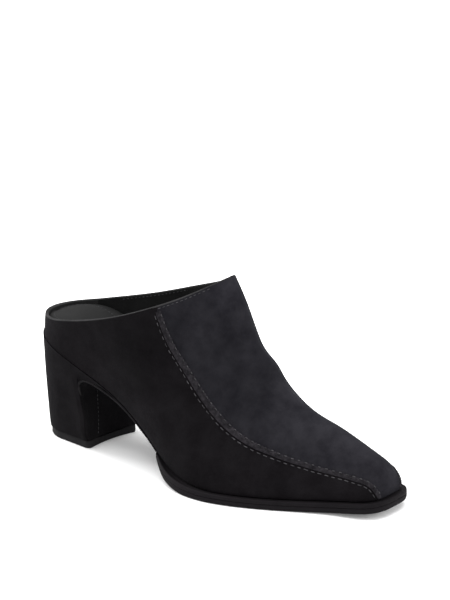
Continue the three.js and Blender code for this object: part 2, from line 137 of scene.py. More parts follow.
# Rows of stitches: spacing, length, how far the length wanders, and the thread's radius. The breast's row is
# spaced by its count.
STITCHES = {row["name"]: row for row in table(
    "name pitch length vary radius",
    ("side", 4.1, 2.8, 0.35, 0.28), ("vamp", 4.2, 1.9, 0.3, 0.30), ("topline", 2.8, 1.7, 0.2, 0.22),
    ("lining", 2.8, 1.6, 0.2, 0.22), ("pad", 2.6, 1.6, 0, 0.26), ("breast", 0, 1.6, 0, 0.24),
)}
FIRST_STITCH = 0.7  # where a row's first stitch lies, in spacings
STITCH_LIFT = 0.02
SIDE_ROW = 0.85  # the rows beside the strip, measured from its edges
VAMP_ROW = -0.05
VAMP_ROW_LIFT = 0.4125
ROW_WANDER = 0.1
EDGE_HIGHLIGHT_BAND = 0.35  # the cut edge, lighter partly from wear and partly as a painted highlight, shows this far down from the topline, in front of EDGE_START
EDGE_START = 104
LINING_PAINTED_LIGHT_END = 17  # the back of the lining is a lighter copy of its leather up to here, as painted light
LIP_STEPS = 6
SOCK_LIFT = 1.3  # the sock stands this much above the insole board at the heel
SOCK_CROWN = 0.7  # its middle stands this much above its edges
PAD = {"middle": 29.9, "half_length": 24.9, "half_width": 18.2, "height": 1.1, "sunk": 0.6}
CORNER_SWELL = 3.0  # the cover's front corners stand forward this much at mid height
BACK_SWELL = 0.8
WAIST_GROOVE = 1.1
TURNED_EDGE = 0.75
TURN_IN = 0.35
FOLD = 0.7  # the cover's fold at the foot of the heel's front corners
BREAST_SEAM = {"foot": -14.5, "top": -4.5, "rows": 3.5}

# Soft creases of the vamp: from, to, half width and height of each. A trough has a height below zero.
CREASES = table(
    "x1 y1 z1 x2 y2 z2 width height",
    (140, -8, 102, 141, 16, 99, 14, 0.85),
    (149, -12, 84, 150, 16, 80, 5.0, -0.45),
    (158, -8, 74, 161, 19, 66, 7.0, 1.55),
    (168, -16, 54, 172, 12, 57, 6.0, -0.35),
    (200, 0, 45, 207, 20, 37, 17, 1.0),
    (239, 14, 23, 241, 22, 15, 7, -1.4),
    (2, -12, 71, 2, 8, 71, 6, 1.0),
    (112, -33, 60, 128, -35, 40, 7.0, -0.4),
    (92, -30, 62, 112, -36, 36, 8.0, 0.35),
    (138, -32, 36, 160, -30, 28, 7.0, -0.35),
    (176, -24, 40, 196, -10, 44, 5.0, -0.25),
    (112, 33, 60, 128, 32, 40, 7.0, -0.35),
    (60, -29, 70, 84, -31, 58, 8.0, -0.35),
    (44, -27, 62, 66, -26, 48, 6.0, 0.3),
)
# Soft patches of lighter and darker colour, partly the nap's own mottling and partly painted light and shade:
# lighter on the vamp's crest and toe, where light falls, and darker partway down the vamp. Columns: middle,
# reach and share added to the colour.
NAP_AND_PAINTED_LIGHT_PATCHES = table(
    "x y z reach tone",
    (137, -2, 116, 13, 0.55), (131, -22, 100, 9, 0.25), (146, -22, 84, 13, -0.15), (162, -14, 58, 12, -0.12),
    (186, -4, 46, 20, 0.34), (206, 4, 40, 14, 0.30), (226, 6, 33, 14, 0.45), (214, -8, 30, 9, 0.15),
    (196, -16, 38, 6, -0.15), (176, 6, 57, 8, 0.25), (240, 8, 20, 8, 0.35), (120, -34, 66, 14, 0.12),
    (88, -31, 74, 22, -0.30), (60, -27, 55, 10, 0.25), (96, -32, 40, 10, 0.18), (140, -42, 26, 13, 0.18),
    (176, -36, 18, 14, 0.30), (206, -24, 16, 12, 0.35), (228, -14, 16, 10, 0.30), (112, -36, 82, 10, -0.25),
)


# ---- Curves through the tables ----
def spline(rows, column, over="x"):
    """Natural cubic spline of one column over another."""
    xs = np.array([float(row[over]) for row in rows])
    ys = np.array([float(row[column]) for row in rows])
    steps = np.diff(xs)
    count = len(xs)
    system = np.eye(count)
    jumps = np.zeros(count)
    for i in range(1, count - 1):
        system[i, i - 1:i + 2] = steps[i - 1], 2 * (steps[i - 1] + steps[i]), steps[i]
        jumps[i] = 6 * ((ys[i + 1] - ys[i]) / steps[i] - (ys[i] - ys[i - 1]) / steps[i - 1])
    second = np.linalg.solve(system, jumps)

    def value(x):
        x = min(max(x, xs[0]), xs[-1])
        i = min(max(int(np.searchsorted(xs, x)) - 1, 0), count - 2)
        a = (xs[i + 1] - x) / steps[i]
        b = 1 - a
        bend = (a ** 3 - a) * second[i] + (b ** 3 - b) * second[i + 1]
        return a * ys[i] + b * ys[i + 1] + bend * steps[i] ** 2 / 6

    return value


centre_at = spline(LAST, "centre")
half_at = {-1: spline(LAST, "lateral"), 1: spline(LAST, "medial")}
feather_at = spline(LAST, "feather")
bulge_at = spline(LAST, "bulge")
rise_at = spline(LAST, "rise")
reach_at = spline(LAST, "reach")
ridge_at = spline(RIDGE, "z")
topline_at = spline(TOPLINE, "z")
thick_at = spline(INSOLE, "thick")
bottom_at = spline(SOLE, "bottom")
ledge_at = spline(SOLE, "ledge")
strip_place = spline(STRIP, "place", "row")
strip_up = spline(STRIP, "up", "row")
strip_half = spline(STRIP, "half", "row")
breast_x = spline(BREAST, "x", "row")
breast_z = spline(BREAST, "z", "row")
breast_seat = spline(BREAST, "seat", "row")


def lerp(a, b, t):
    return a + (b - a) * t


def smooth(t):
    t = min(1.0, max(0.0, t))
    return t * t * (3 - 2 * t)


def run_lengths(points):
    """The length of a line of points up to each of them."""
    return np.r_[0, np.cumsum(np.linalg.norm(np.diff(points, axis=0), axis=1))]


# ---- The last ----
# A place goes round the outline: 0 at the back, 1 at HEEL_ROUND, 2 at TOE_START and 3 at the tip. It is below
# zero on the outer side.
def rounding(x):
    heel = max(0.0, 1 - x / HEEL_ROUND)
    toe = min(1.0, max(0.0, 1 - (FEATHER_LENGTH - x) / TOE_CORNER))
    return math.sqrt(1 - heel ** 2) * (1 - toe ** TOE_SQUARE) ** (1 / TOE_SQUARE)


def outline_point(side, x):
    return np.array([x, centre_at(x) + side * half_at[side](x) * rounding(x)])


def toe_stretch(side, steps=240):
    points = []
    for i in range(steps + 1):
        share = math.sin(i / steps * math.pi / 2)
        points.append(outline_point(side, lerp(TOE_START, FEATHER_LENGTH, share)))
    points = np.array(points)
    lengths = run_lengths(points)
    return points, lengths / lengths[-1]


TOE = {side: toe_stretch(side) for side in (-1, 1)}


def wrap(place):
    if place > 3:
        return place - 6
    return place + 6 if place < -3 else place


def outline(place):
    place = wrap(place)
    side = 1 if place >= 0 else -1
    along = abs(place)
    if along > 2:
        points, shares = TOE[side]
        return np.array([np.interp(along - 2, shares, points[:, k]) for k in (0, 1)])
    if along > 1:
        return outline_point(side, lerp(HEEL_ROUND, TOE_START, along - 1))
    return outline_point(side, HEEL_ROUND * (1 - math.cos(along * math.pi / 2)))


def place_of(x):
    return 1 + (x - HEEL_ROUND) / (TOE_START - HEEL_ROUND)


def outward(place, step=0.004):
    along = outline(place + step) - outline(place - step)
    along /= np.linalg.norm(along)
    return np.array([-along[1], along[0]])


def rib(place):
    """A rib's four control points: foot, lean, shoulder and top. The ribs fan out at the toe."""
    place = wrap(place)
    side = 1 if place >= 0 else -1
    foot = outline(place)
    out = outward(place)
    x = foot[0]
    fan = max(0.0, abs(place) - 2)
    top_x = lerp(RIDGE_END, TOE_START, (1 - fan) ** 1.8) if fan > 0 else x
    turn = math.pi / 2 * fan ** 1.7
    slope = ridge_at(top_x) - ridge_at(top_x - 1) if fan > 0 else 0.0
    reach = reach_at(x) * math.sqrt(1 - max(0.0, 1 - x / HEEL_ROUND) ** 2)
    low = feather_at(x)
    forward = reach * math.sin(turn)
    return np.array([
        [foot[0], foot[1], low],
        [foot[0] + out[0] * bulge_at(x), foot[1] + out[1] * bulge_at(x), low + rise_at(x)],
        [top_x + forward, centre_at(top_x) + side * reach * math.cos(turn),
         ridge_at(top_x) + forward * slope],
        [top_x, centre_at(top_x), ridge_at(top_x)],
    ])


def weights(v):
    w = 1 - v
    return np.array([w ** 3, 3 * w * w * v, 3 * w * v * v, v ** 3])


def slopes(v):
    w = 1 - v
    return np.array([-3 * w * w, 3 * w * w - 6 * w * v, 6 * w * v - 3 * v * v, 3 * v * v])


def share_below(points, z):
    low, high = 0.0, 1.0
    for _ in range(40):
        middle = (low + high) / 2
        if weights(middle) @ points[:, 2] < z:
            low = middle
        else:
            high = middle
    return (low + high) / 2


def end_of_rib(place):
    x = outline(place)[0]
    return 1.0 if x >= THROAT_X else share_below(rib(place), topline_at(x))


class Rib:
    """A rib with its neighbours, for points, tangents and normals along it."""

    def __init__(self, place, step=0.006):
        self.points = rib(place)
        self.change = (rib(place + step) - rib(place - step)) / (2 * step)

    def at(self, v):
        return weights(v) @ self.points

    def tangents(self, v):
        return weights(v) @ self.change, slopes(v) @ self.points

    def normal(self, v):
        along, up = self.tangents(max(0.0, min(v, 0.9995)))
        across = np.cross(up, along)
        return across / np.linalg.norm(across)


def nap_and_painted_light_tone(point):
    total = 0.0
    for row in NAP_AND_PAINTED_LIGHT_PATCHES:
        gap = np.linalg.norm(point - np.array([row["x"], row["y"], row["z"]])) / row["reach"]
        total += row["tone"] * math.exp(-gap * gap)
    return total


def crease_height(point):
    total = 0.0
    for row in CREASES:
        start = np.array([row["x1"], row["y1"], row["z1"]])
        run = np.array([row["x2"], row["y2"], row["z2"]]) - start
        share = float(np.clip((point - start) @ run / (run @ run), -0.4, 1.4))
        gap = np.linalg.norm(point - start - run * share) / row["width"]
        ends = math.exp(-(2 * share - 1) ** 2 * 0.9)
        total += row["height"] * math.exp(-gap * gap) * ends
    return total


def on_skin(line, v, lift=0.0):
    """The point that far above the upper's outer face, creases and all."""
    point = line.at(v)
    return point + line.normal(v) * (lift + crease_height(point) * smooth(v / 0.1))


# ---- Meshes ----
def new_piece(name, points, faces, materials, node=None, zones=None, crisp=None, merge=4e-6,
              tones=None):
    """A piece of the shoe from points in millimetres.

    zones gives each face its material, and tones each point its tone. Edges sharper than crisp degrees stay
    sharp, and points closer than merge metres become one.
    """
    mesh = bpy.data.meshes.new(name)
    placed = (np.array(points) - MIDDLE) / 1000
    mesh.from_pydata([tuple(p) for p in placed], [], [tuple(f) for f in faces])
    if zones is not None:
        mesh.polygons.foreach_set("material_index", np.array(zones, dtype=np.int32))
    if tones is not None:
        tone = mesh.attributes.new("tone", "FLOAT", "POINT")
        tone.data.foreach_set("value", np.array(tones, dtype=np.float32))
    work = bmesh.new()
    work.from_mesh(mesh)
    bmesh.ops.remove_doubles(work, verts=work.verts, dist=merge)
    bmesh.ops.dissolve_degenerate(work, edges=work.edges, dist=merge)
    bmesh.ops.recalc_face_normals(work, faces=work.faces)
    work.to_mesh(mesh)
    work.free()
    for polygon in mesh.polygons:
        polygon.use_smooth = True
    if crisp:
        mesh.set_sharp_from_angle(angle=math.radians(crisp))
    for material in materials:
        mesh.materials.append(material)
    piece = bpy.data.objects.new(name, mesh)
    bpy.context.scene.collection.objects.link(piece)
    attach(piece, "root")
    if node:
        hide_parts(node)
    return piece


def quads(loops):
    """Faces between neighbouring closed loops of points, which all have one length."""
    count = len(loops[0])
    faces = []
    for i in range(len(loops) - 1):
        for j in range(count):
            beside = (j + 1) % count
            faces.append((i * count + j, (i + 1) * count + j, (i + 1) * count + beside, i * count + beside))
    return faces


def loops_piece(name, sections, materials, node=None, caps=(False, False), crisp=35, columns=None):
    """A closed solid from closed sections.

    caps says which ends are flat, and columns gives the material of each column of faces along it.
    """
    count = len(sections[0])
    points = [point for section in sections for point in section]
    faces = quads(sections)
    zones = list(columns) * (len(sections) - 1) + [0] * (2 * count) if columns else None
    if caps[0]:
        points.append(np.mean(sections[0], axis=0))
        faces += [(len(points) - 1, k, (k + 1) % count) for k in range(count)]
    if caps[1]:
        points.append(np.mean(sections[-1], axis=0))
        last = (len(sections) - 1) * count
        faces += [(len(points) - 1, last + (k + 1) % count, last + k) for k in range(count)]
    zones = zones[:len(faces)] if zones else None
    return new_piece(name, points, faces, materials, node, zones, crisp)


# ---- Materials ----
def node_material(name, dark, light, rough, patch, grain, grain_bump, dent_bump=0.0):
    """Colour wanders between two tones over patches, with a fine grain. patch and grain are noise scales."""
    material = bpy.data.materials.new(name)
    material.use_nodes = True
    nodes = material.node_tree.nodes
    links = material.node_tree.links
    shader = nodes["Principled BSDF"]
    shader.inputs["Roughness"].default_value = rough
    place = nodes.new("ShaderNodeTexCoord")
    patches = nodes.new("ShaderNodeTexNoise")
    patches.inputs["Scale"].default_value = patch
    patches.inputs["Detail"].default_value = 7
    patches.inputs["Roughness"].default_value = 0.62
    ramp = nodes.new("ShaderNodeValToRGB")
    for stop, position, colour in zip(ramp.color_ramp.elements, (0.35, 0.65), (dark, light)):
        stop.position = position
        stop.color = (*colour, 1)
    fine = nodes.new("ShaderNodeTexNoise")
    fine.inputs["Scale"].default_value = grain
    fine.inputs["Detail"].default_value = 3
    bump = nodes.new("ShaderNodeBump")
    bump.inputs["Strength"].default_value = grain_bump
    bump.inputs["Distance"].default_value = 0.0004
    links.new(place.outputs["Object"], patches.inputs["Vector"])
    links.new(place.outputs["Object"], fine.inputs["Vector"])
    links.new(patches.outputs["Fac"], ramp.inputs["Fac"])
    links.new(ramp.outputs["Color"], shader.inputs["Base Color"])
    links.new(fine.outputs["Fac"], bump.inputs["Height"])
    links.new(bump.outputs["Normal"], shader.inputs["Normal"])
    if dent_bump:
        dents = nodes.new("ShaderNodeTexNoise")
        dents.inputs["Scale"].default_value = patch * 2.2
        dents.inputs["Detail"].default_value = 4
        wide = nodes.new("ShaderNodeBump")
        wide.inputs["Strength"].default_value = dent_bump
        wide.inputs["Distance"].default_value = 0.0012
        links.new(place.outputs["Object"], dents.inputs["Vector"])
        links.new(dents.outputs["Fac"], wide.inputs["Height"])
        links.new(wide.outputs["Normal"], bump.inputs["Normal"])
    return material


def tune(material, **values):
    """Sets sockets of the shader that are the same all over the surface."""
    shader = material.node_tree.nodes["Principled BSDF"]
    for socket, value in values.items():
        shader.inputs[socket.replace("_", " ")].default_value = value
    return material


def suede(name, dark, light, sheen, patch=85):
    """Napped leather. Its colour is scaled by one plus the tone of the mesh, zero where it has none."""
    material = node_material(name, dark, light, 1.0, patch=patch, grain=3200, grain_bump=0.35, dent_bump=0.16)
    tune(material, Sheen_Weight=sheen, Sheen_Roughness=0.45, Specular_IOR_Level=0.03)
    nodes = material.node_tree.nodes
    links = material.node_tree.links
    shader = nodes["Principled BSDF"]
    shader.inputs["Sheen Tint"].default_value = (0.75, 0.76, 0.86, 1)
    colour = shader.inputs["Base Color"].links[0].from_socket
    tone = nodes.new("ShaderNodeAttribute")
    tone.attribute_name = "tone"
    more = nodes.new("ShaderNodeMath")
    more.operation = "ADD"
    more.inputs[1].default_value = 1
    scaled = nodes.new("ShaderNodeVectorMath")
    scaled.operation = "SCALE"
    links.new(tone.outputs["Fac"], more.inputs[0])
    links.new(colour, scaled.inputs[0])
    links.new(more.outputs["Value"], scaled.inputs["Scale"])
    links.new(scaled.outputs["Vector"], shader.inputs["Base Color"])
    return material


VAMP = suede("vamp_suede", (0.0076, 0.0073, 0.0092), (0.0140, 0.0135, 0.0162), 0.02)
SIDE = suede("side_suede", (0.0040, 0.0034, 0.0040), (0.0064, 0.0057, 0.0065), 0.01)
STRIP_SUEDE = suede("strip_suede", (0.0080, 0.0074, 0.0086), (0.0235, 0.0215, 0.0245), 0.02, 420)
SEAM_SHADOW = suede("seam_shadow", (0.0012, 0.0010, 0.0012), (0.0020, 0.0018, 0.0020), 0.0)
COVER = suede("heel_suede_cover", (0.0048, 0.0043, 0.0049), (0.0076, 0.0070, 0.0078), 0.01)
# The cover's turned edge is coloured lighter than the cover, as a painted highlight along the arch and waist.
COVER_EDGE_HIGHLIGHT = suede("cover_edge_highlight", (0.009, 0.0085, 0.009), (0.017, 0.016, 0.017), 0.02)
# The cut edge is coloured lighter, partly the worn edge's own colour and partly a painted highlight along the
# topline.
CUT_EDGE_HIGHLIGHT = suede("cut_edge_highlight", (0.018, 0.0177, 0.018), (0.034, 0.0335, 0.034), 0.02)


def leather(name, dark, light, patch):
    """Smooth leather, and what else is smooth and matt: rubber and thread."""
    return tune(node_material(name, dark, light, 0.75, patch, 1700, 0.12), Specular_IOR_Level=0.08)


# The lining's grey leather, and a lighter copy of it for the lit back of the lining, as painted light.
LINING = leather("lining_leather", (0.0070, 0.0070, 0.0072), (0.0105, 0.0105, 0.0107), 120)
LINING_PAINTED_LIGHT = leather("lining_painted_light", (0.0155, 0.0155, 0.0157), (0.0210, 0.0210, 0.0212), 90)
SOCK = leather("sock_leather", (0.0085, 0.0085, 0.0086), (0.0120, 0.0120, 0.0121), 60)
PAD_LEATHER = leather("pad_leather", (0.0085, 0.0085, 0.0086), (0.0115, 0.0115, 0.0116), 50)
SOLE_RUBBER = leather("sole_rubber", (0.0046, 0.0037, 0.0046), (0.0072, 0.0060, 0.0072), 60)
LIFT_RUBBER = leather("lift_rubber", (0.0100, 0.0096, 0.0104), (0.0150, 0.0145, 0.0155), 60)
THREAD = leather("thread", (0.022, 0.0215, 0.023), (0.060, 0.058, 0.062), 300)
DARK_THREAD = leather("dark_thread", (0.022, 0.022, 0.024), (0.045, 0.045, 0.048), 300)

# ---- Upper ----
STRIP_PATH = [(strip_place(k), strip_up(k)) for k in np.linspace(0, len(STRIP) - 1, 200)]
UPPER_MATERIALS = [VAMP, SIDE, LINING, CUT_EDGE_HIGHLIGHT, LINING_PAINTED_LIGHT]
ON_VAMP, ON_SIDE, ON_LINING, ON_EDGE_HIGHLIGHT, ON_LINING_PAINTED_LIGHT = range(5)
ROWS_UP = 54


def strip_height(place):
    """How far up a rib the strip runs, or None behind it and in front of the toe's corner."""
    places = [p for p, _ in STRIP_PATH]
    along = abs(place)
    if along < places[0] or along > places[-1]:
        return None
    return float(np.interp(along, places, [v for _, v in STRIP_PATH]))


def upper_places():
    """Places round the shoe, closer together at the throat and toe."""
    half = list(np.linspace(0, 1, 26)[:-1])
    for share in 1 - (1 - np.linspace(0, 1, 81)[:-1]) ** 1.7:
        half.append(place_of(lerp(HEEL_ROUND, THROAT_X, share)))
    half += list(np.linspace(place_of(THROAT_X), 2, 46)[:-1])
    half += list(np.linspace(2, 3, 61))
    return [-p for p in half[::-1]] + half[1:]


def upper_section(place):
    """The upper along one rib: its outer and inner face, and the rounded lip between them at the top."""
    line = Rib(place)
    end = end_of_rib(place)
    x = outline(place)[0]
    # The rows of points follow the topline at the back and stay level from the ball on.
    level = smooth((x - 60) / 60)
    heights = [lerp(end * j / ROWS_UP, min(end, j / ROWS_UP), level) for j in range(ROWS_UP + 1)]
    is_open = x < THROAT_X - 1e-6
    if is_open:
        band_end = end - EDGE_HIGHLIGHT_BAND / np.linalg.norm(slopes(end) @ line.points)
        heights = [min(v, band_end) for v in heights[:-1]] + [end]
    outer = [on_skin(line, v) for v in heights]
    inner = [line.at(v) - line.normal(v) * WALL for v in heights]
    for face in (outer, inner):
        face[0] = face[0] + np.array([0, 0, GAP])
    middle = (outer[-1] + inner[-1]) / 2
    aside = (outer[-1] - inner[-1]) / 2
    up = slopes(end) @ line.points if is_open else np.array([0, 0, 1.0])
    up = up / np.linalg.norm(up) * WALL * 0.3
    turns = np.linspace(0, math.pi, LIP_STEPS + 1)
    strip = strip_height(place)
    return {
        "outer": outer,
        "inner": inner,
        "lip": [middle + aside * math.cos(turn) + up * math.sin(turn) for turn in turns],
        "zones": [ON_VAMP if strip is not None and v >= strip else ON_SIDE for v in heights],
        "open": is_open,
    }


def make_upper():
    places = upper_places()
    sections = [upper_section(place) for place in places]
    # Where the upper is closed, both sides meet in the same points at the crest.
    for one, other in zip(sections[:len(places) // 2 + 1], sections[::-1]):
        if not one["open"]:
            one["lip"] = other["lip"] = [(a + b) / 2 for a, b in zip(one["lip"], other["lip"])]
            for face in ("outer", "inner"):
                one[face][-1] = other[face][-1] = (one[face][-1] + other[face][-1]) / 2
    points = [point for face in ("outer", "inner") for section in sections for point in section[face]]
    faces = []
    zones = []
    size = ROWS_UP + 1
    inside = len(places) * size
    for i, (section, following) in enumerate(zip(sections, sections[1:])):
        x = section["outer"][0][0]
        past_strip = abs(places[i]) > STRIP_PATH[-1][0]
        for j in range(ROWS_UP):
            a, b = i * size + j, (i + 1) * size + j
            # The top row of the outer face in front of EDGE_START and the lip take the painted highlight.
            at_edge_highlight = j == ROWS_UP - 1 and section["open"] and following["open"] and x > EDGE_START
            faces.append((a, b, b + 1, a + 1))
            zones.append(ON_EDGE_HIGHLIGHT if at_edge_highlight else ON_VAMP if past_strip else section["zones"][j])
            faces.append((inside + a + 1, inside + b + 1, inside + b, inside + a))
            # The back of the lining takes the lighter copy, as painted light.
            zones.append(ON_LINING_PAINTED_LIGHT if x < LINING_PAINTED_LIGHT_END else ON_LINING)
        faces.append((inside + i * size, inside + (i + 1) * size, (i + 1) * size, i * size))
        zones.append(ON_SIDE)
    for section, following in zip(sections, sections[1:]):
        if section["open"] or following["open"]:
            start = len(points)
            points += section["lip"] + following["lip"]
            for k in range(start, start + LIP_STEPS):
                faces.append((k, k + LIP_STEPS + 1, k + LIP_STEPS + 2, k + 1))
                zones.append(ON_EDGE_HIGHLIGHT)
    # The tones hold the nap's patches and the painted light and shade.
    tones = [nap_and_painted_light_tone(point) for point in points[:inside]] + [0.0] * (len(points) - inside)
    new_piece("upper_shell", points, faces, UPPER_MATERIALS, "upper", zones, 50, tones=tones)


# ---- What lies on the last: strips and stitches ----
class Surface:
    """A frame on the last: a point, its normal, the path's direction and the direction across it."""

    def __init__(self, place, v, ahead_place, ahead_v):
        self.line = Rib(place)
        self.place = place
        self.v = v
        self.normal = self.line.normal(v)
        self.point = self.line.at(v)
        run = Rib(ahead_place).at(ahead_v) - self.point
        run -= self.normal * (run @ self.normal)
        self.along = run / np.linalg.norm(run)
        self.across = np.cross(self.normal, self.along)

    def shifted(self, across, lift):
        """The point that far across the path on the last, and that far above it."""
        by_place, by_v = self.line.tangents(min(self.v, 0.999))
        steps = np.linalg.lstsq(np.array([by_place, by_v]).T, self.across * across, rcond=None)[0]
        v = min(max(self.v + steps[1], 0.0), 1.0)
        return on_skin(Rib(self.place + steps[0]), v, lift)


def strip_frames(side, count):
    """Frames down the strip, from the topline to the toe's corner."""
    frames = []
    for k in np.linspace(0, len(STRIP) - 1, count):
        ahead = min(k + 0.02, len(STRIP) - 1)
        back = ahead - 0.02
        start = (side * strip_place(back), strip_up(back))
        end = (side * strip_place(ahead), strip_up(ahead))
        frames.append((Surface(*start, *end), strip_half(k)))
    return frames


def lengths_along(frames):
    return run_lengths(np.array([surface.point for surface, _ in frames]))


def even_frames(frames, pitch):
    """Every pitch millimetres along the frames, with a frame's half width."""
    lengths = lengths_along(frames)
    distances = np.arange(pitch * FIRST_STITCH, lengths[-1] - pitch * 0.4, pitch)
    return [frames[int(np.argmin(abs(lengths - distance)))] for distance in distances]


def stitch(centre, along, normal, length, radius):
    """A stitch: a short thread that dips in at both ends."""
    aside = np.cross(normal, along)
    points = []
    faces = []
    rings = 6
    sides = 6
    for i in range(rings + 1):
        t = -1 + 2 * i / rings
        thick = radius * math.sqrt(max(0.02, 1 - t ** 4))
        middle = centre + along * (t * length / 2) + normal * radius * (0.55 - 1.1 * t * t)
        for j in range(sides):
            angle = 2 * math.pi * j / sides
            points.append(middle + aside * math.cos(angle) * thick + normal * math.sin(angle) * thick * 0.8)
    for i in range(rings):
        for j in range(sides):
            a, b = i * sides + j, i * sides + (j + 1) % sides
            faces.append((a, b, b + sides, a + sides))
    faces.append(tuple(range(sides))[::-1])
    faces.append(tuple(range(rings * sides, (rings + 1) * sides)))
    return points, faces


def sewn(kind, surface, centre, normal):
    """One stitch of a row of that kind, along the surface's path."""
    row = STITCHES[kind]
    length = row["length"] + random.uniform(-row["vary"], row["vary"])
    return centre, surface.along, normal, length, row["radius"]


def stitches_piece(name, stitches, material):
    points = []
    faces = []
    for centre, along, normal, length, radius in stitches:
        some, their = stitch(centre, along, normal, length, radius)
        faces += [tuple(k + len(points) for k in face) for face in their]
        points += some
    return new_piece(name, points, faces, [material], merge=1e-7)


def strip_section(surface, half, side, puff):
    """The strip's top from one edge to the other, worn uneven, and its two corners sunk into the upper."""
    worn = half + random.uniform(-WIDTH_WEAR, WIDTH_WEAR)
    top = []
    for share in np.linspace(-1, 1, STRIP_COLUMNS):
        swell = max(0.0, -side * share) ** 2 * puff
        height = STRIP_HEIGHT + random.uniform(-HEIGHT_WEAR, HEIGHT_WEAR) + PUFF_UP * swell
        top.append(surface.shifted(share * (worn + PUFF_OUT * swell), height * (1 - abs(share) ** 5) - 0.05))
    return top + [surface.shifted(half, -STRIP_DEPTH), surface.shifted(-half, -STRIP_DEPTH)]


def make_strip(side, word):
    """The seam strip of one side, with a row of stitches on the panel below it and one on its upper edge."""
    frames = strip_frames(side, 460)
    lengths = lengths_along(frames)
    sections = []
    for (surface, half), length in zip(frames, lengths):
        # Each stitch of the vamp row pulls the edge in. It puffs out between them, less so at the toe.
        puff = -math.cos(2 * math.pi * (length / STITCHES["vamp"]["pitch"] - FIRST_STITCH))
        puff *= 1 - 0.75 * smooth((length / lengths[-1] - 0.5) / 0.25)
        sections.append(strip_section(surface, half, side, puff))
    # The edge towards the sole is in shadow.
    columns = [0] * (STRIP_COLUMNS + 2)
    for column in ((0, STRIP_COLUMNS + 1) if side < 0 else (STRIP_COLUMNS - 2, STRIP_COLUMNS - 1)):
        columns[column] = 1
    loops_piece("seam_strip_" + word, sections, [STRIP_SUEDE, SEAM_SHADOW], caps=(True, True),
                crisp=60, columns=columns)
    frames = strip_frames(side, 900)
    side_row = []
    for surface, half in even_frames(frames, STITCHES["side"]["pitch"]):
        aside = half + SIDE_ROW + random.uniform(-ROW_WANDER, ROW_WANDER)
        side_row.append(sewn("side", surface, surface.shifted(side * aside, STITCH_LIFT), surface.normal))
    vamp_row = []
    for surface, half in even_frames(frames, STITCHES["vamp"]["pitch"]):
        aside = half + VAMP_ROW + random.uniform(-ROW_WANDER, ROW_WANDER)
        vamp_row.append(sewn("vamp", surface, surface.shifted(-side * aside, VAMP_ROW_LIFT), surface.normal))
    stitches_piece("side_stitches_" + word, side_row, THREAD)
    stitches_piece("vamp_stitches_" + word, vamp_row, THREAD)


def topline_frames(side, start_x, end_x):
    frames = []
    for x in np.linspace(start_x, end_x, 260):
        place, ahead = side * place_of(x), side * place_of(x + 0.4)
        frames.append((Surface(place, end_of_rib(place), ahead, end_of_rib(ahead)), 0.0))
    return frames


def make_topline_stitches():
    """A row outside the topline from the strip to the throat, and one inside it at the back."""
    outside = []
    inside = []
    for side in (-1, 1):
        for surface, _ in even_frames(topline_frames(side, 105, 130), STITCHES["topline"]["pitch"]):
            centre = surface.shifted(side * 1.35, STITCH_LIFT)
            outside.append(sewn("topline", surface, centre, surface.normal))
        for surface, _ in even_frames(topline_frames(side, 32, 78), STITCHES["lining"]["pitch"]):
            centre = surface.shifted(side * 1.2, -WALL - STITCH_LIFT)
            inside.append(sewn("lining", surface, centre, -surface.normal))
    stitches_piece("topline_stitches", outside, THREAD)
    stitches_piece("lining_stitches", inside, DARK_THREAD)


# ---- Insole: the sock and its heel pad ----
SOCK_WALL = 7
SOCK_SHARES = [0.012, 0.04, 0.08] + list(np.linspace(0.14, 0.86, 19)) + [0.92, 0.96, 0.988]


def sock_top(x):
    return feather_at(x) + thick_at(x) + SOCK_LIFT * (1 - smooth((x - 22) / 40))


def sock_dish(x):
    """How deep the heel has pressed the sock in."""
    return INSOLE_DISH * (1 - smooth((x - 20) / 90))


def sock_walls(place):
    """The sock's edge from the feather line up, on both sides, inside the upper."""
    x = outline(place)[0]
    walls = {}
    for side in (-1, 1):
        line = Rib(side * place)
        end = share_below(line.points, sock_top(x) - SOCK_CROWN)
        heights = [end * j / (SOCK_WALL - 1) for j in range(SOCK_WALL)]
        walls[side] = [line.at(v) - line.normal(v) * (WALL + 2 * GAP) for v in heights]
        walls[side][0][2] = feather_at(x) + GAP
    if place in (0, 3):
        shared = [(a + b) / 2 for a, b in zip(walls[-1], walls[1])]
        walls = {-1: shared, 1: [point.copy() for point in shared]}
    return walls


def make_sock():
    places = list(np.linspace(0, 1, 24)[:-1]) + list(np.linspace(1, 2, 90)[:-1]) + list(np.linspace(2, 3, 40))
    sections = []
    for place in places:
        walls = sock_walls(place)
        top = []
        for share in SOCK_SHARES:
            point = lerp(walls[-1][-1], walls[1][-1], share)
            crown = SOCK_CROWN * (1 - math.exp(-min(share, 1 - share) * 30))
            point[2] += crown - sock_dish(outline(place)[0]) * 4 * share * (1 - share)
            top.append(point)
        under = [lerp(walls[1][0], walls[-1][0], share) for share in np.linspace(0, 1, 12)[1:-1]]
        sections.append(walls[-1] + top + walls[1][::-1] + under)
    sock = loops_piece("sock", sections, [SOCK], "insole", crisp=60)


def sock_height(x, y):
    half = half_at[1](x) * rounding(max(x, 0.5)) - WALL - 2 * GAP
    share = min(1.0, abs(y) / max(half, 1))
    return sock_top(x) - sock_dish(x) * (1 - share * share)


def pad_ring(scale):
    """A squarish oval on the sock, at that share of the pad's size."""
    ring = []
    lift = -0.25 if scale == 1 else PAD["height"] * (1 - scale ** 8)
    for angle in np.linspace(0, 2 * math.pi, 96, endpoint=False):
        cos, sin = math.cos(angle), math.sin(angle)
        x = PAD["middle"] - PAD["half_length"] * scale * math.copysign(abs(cos) ** 0.9, cos)
        y = PAD["half_width"] * scale * math.copysign(abs(sin) ** 0.86, sin)
        ring.append(np.array([x, y, sock_height(x, y) + lift]))
    return ring


